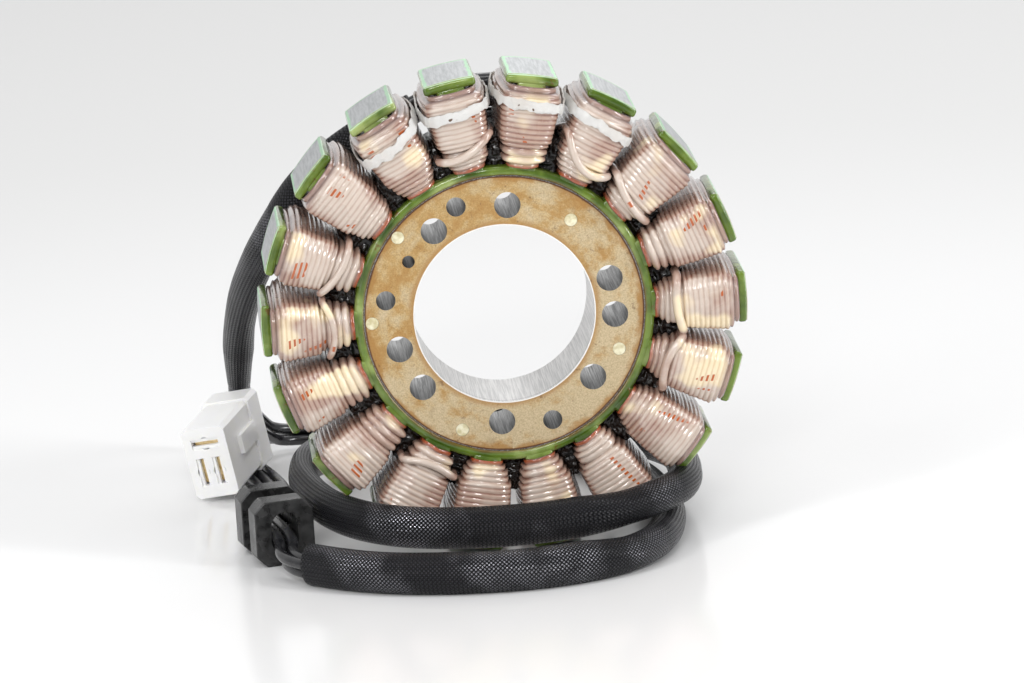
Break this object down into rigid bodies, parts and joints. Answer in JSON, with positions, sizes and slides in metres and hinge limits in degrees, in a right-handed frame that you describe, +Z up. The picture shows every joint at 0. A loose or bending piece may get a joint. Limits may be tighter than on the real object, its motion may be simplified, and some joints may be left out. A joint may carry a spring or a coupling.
{
  "type": "wound stator",
  "caption": "Wound stator with coated pole shoes, a bored mounting ring, and a sleeved lead harness with grommet and blade connector.",
  "frame": {"origin": "middle of the bore, halfway along the steel core", "axes": "+Z up as it stands, +Y along the bore's axis towards the rear, front face towards -Y"},
  "size_m": [0.1412, 0.1657, 0.1198],
  "materials": {
    "steel": "brushed",
    "rivet_brass": "satin",
    "green_coat": "gloss",
    "varnished_copper": "gloss",
    "white_tape": "matte",
    "black_tube": "satin",
    "black_wire": "gloss",
    "black_braid": "satin",
    "black_rubber": "satin",
    "white_nylon": "satin",
    "terminal_brass": "satin"
  },
  "bodies": {
    "root": {"coil_01": "varnished_copper", "coil_02": "varnished_copper", "coil_03": "varnished_copper", "coil_04": "varnished_copper", "coil_05": "varnished_copper", "coil_06": "varnished_copper", "coil_07": "varnished_copper", "coil_08": "varnished_copper", "coil_09": "varnished_copper", "coil_10": "varnished_copper", "coil_11": "varnished_copper", "coil_12": "varnished_copper", "coil_13": "varnished_copper", "coil_14": "varnished_copper", "coil_15": "varnished_copper", "coil_16": "varnished_copper", "coil_17": "varnished_copper", "coil_18": "varnished_copper", "connector_housing": "white_nylon", "connector_terminals": "terminal_brass", "core_rivets": "rivet_brass", "epoxy_coating": "green_coat", "grommet": "black_rubber", "lacing_tape_1": "white_tape", "lacing_tape_2": "white_tape", "lacing_tape_3": "white_tape", "lacing_tape_4": "white_tape", "laminated_core": "steel", "lead_sleeve": "black_braid", "lead_splice_1": "black_tube", "lead_splice_2": "black_tube", "lead_splice_3": "black_tube", "lead_wire_1": "black_wire", "lead_wire_2": "black_wire", "lead_wire_3": "black_wire", "main_sleeve": "black_braid", "wire_1_end": "black_wire", "wire_1_mid": "black_wire", "wire_2_end": "black_wire", "wire_2_mid": "black_wire", "wire_3_end": "black_wire", "wire_3_mid": "black_wire"}
  },
  "joints": []
}
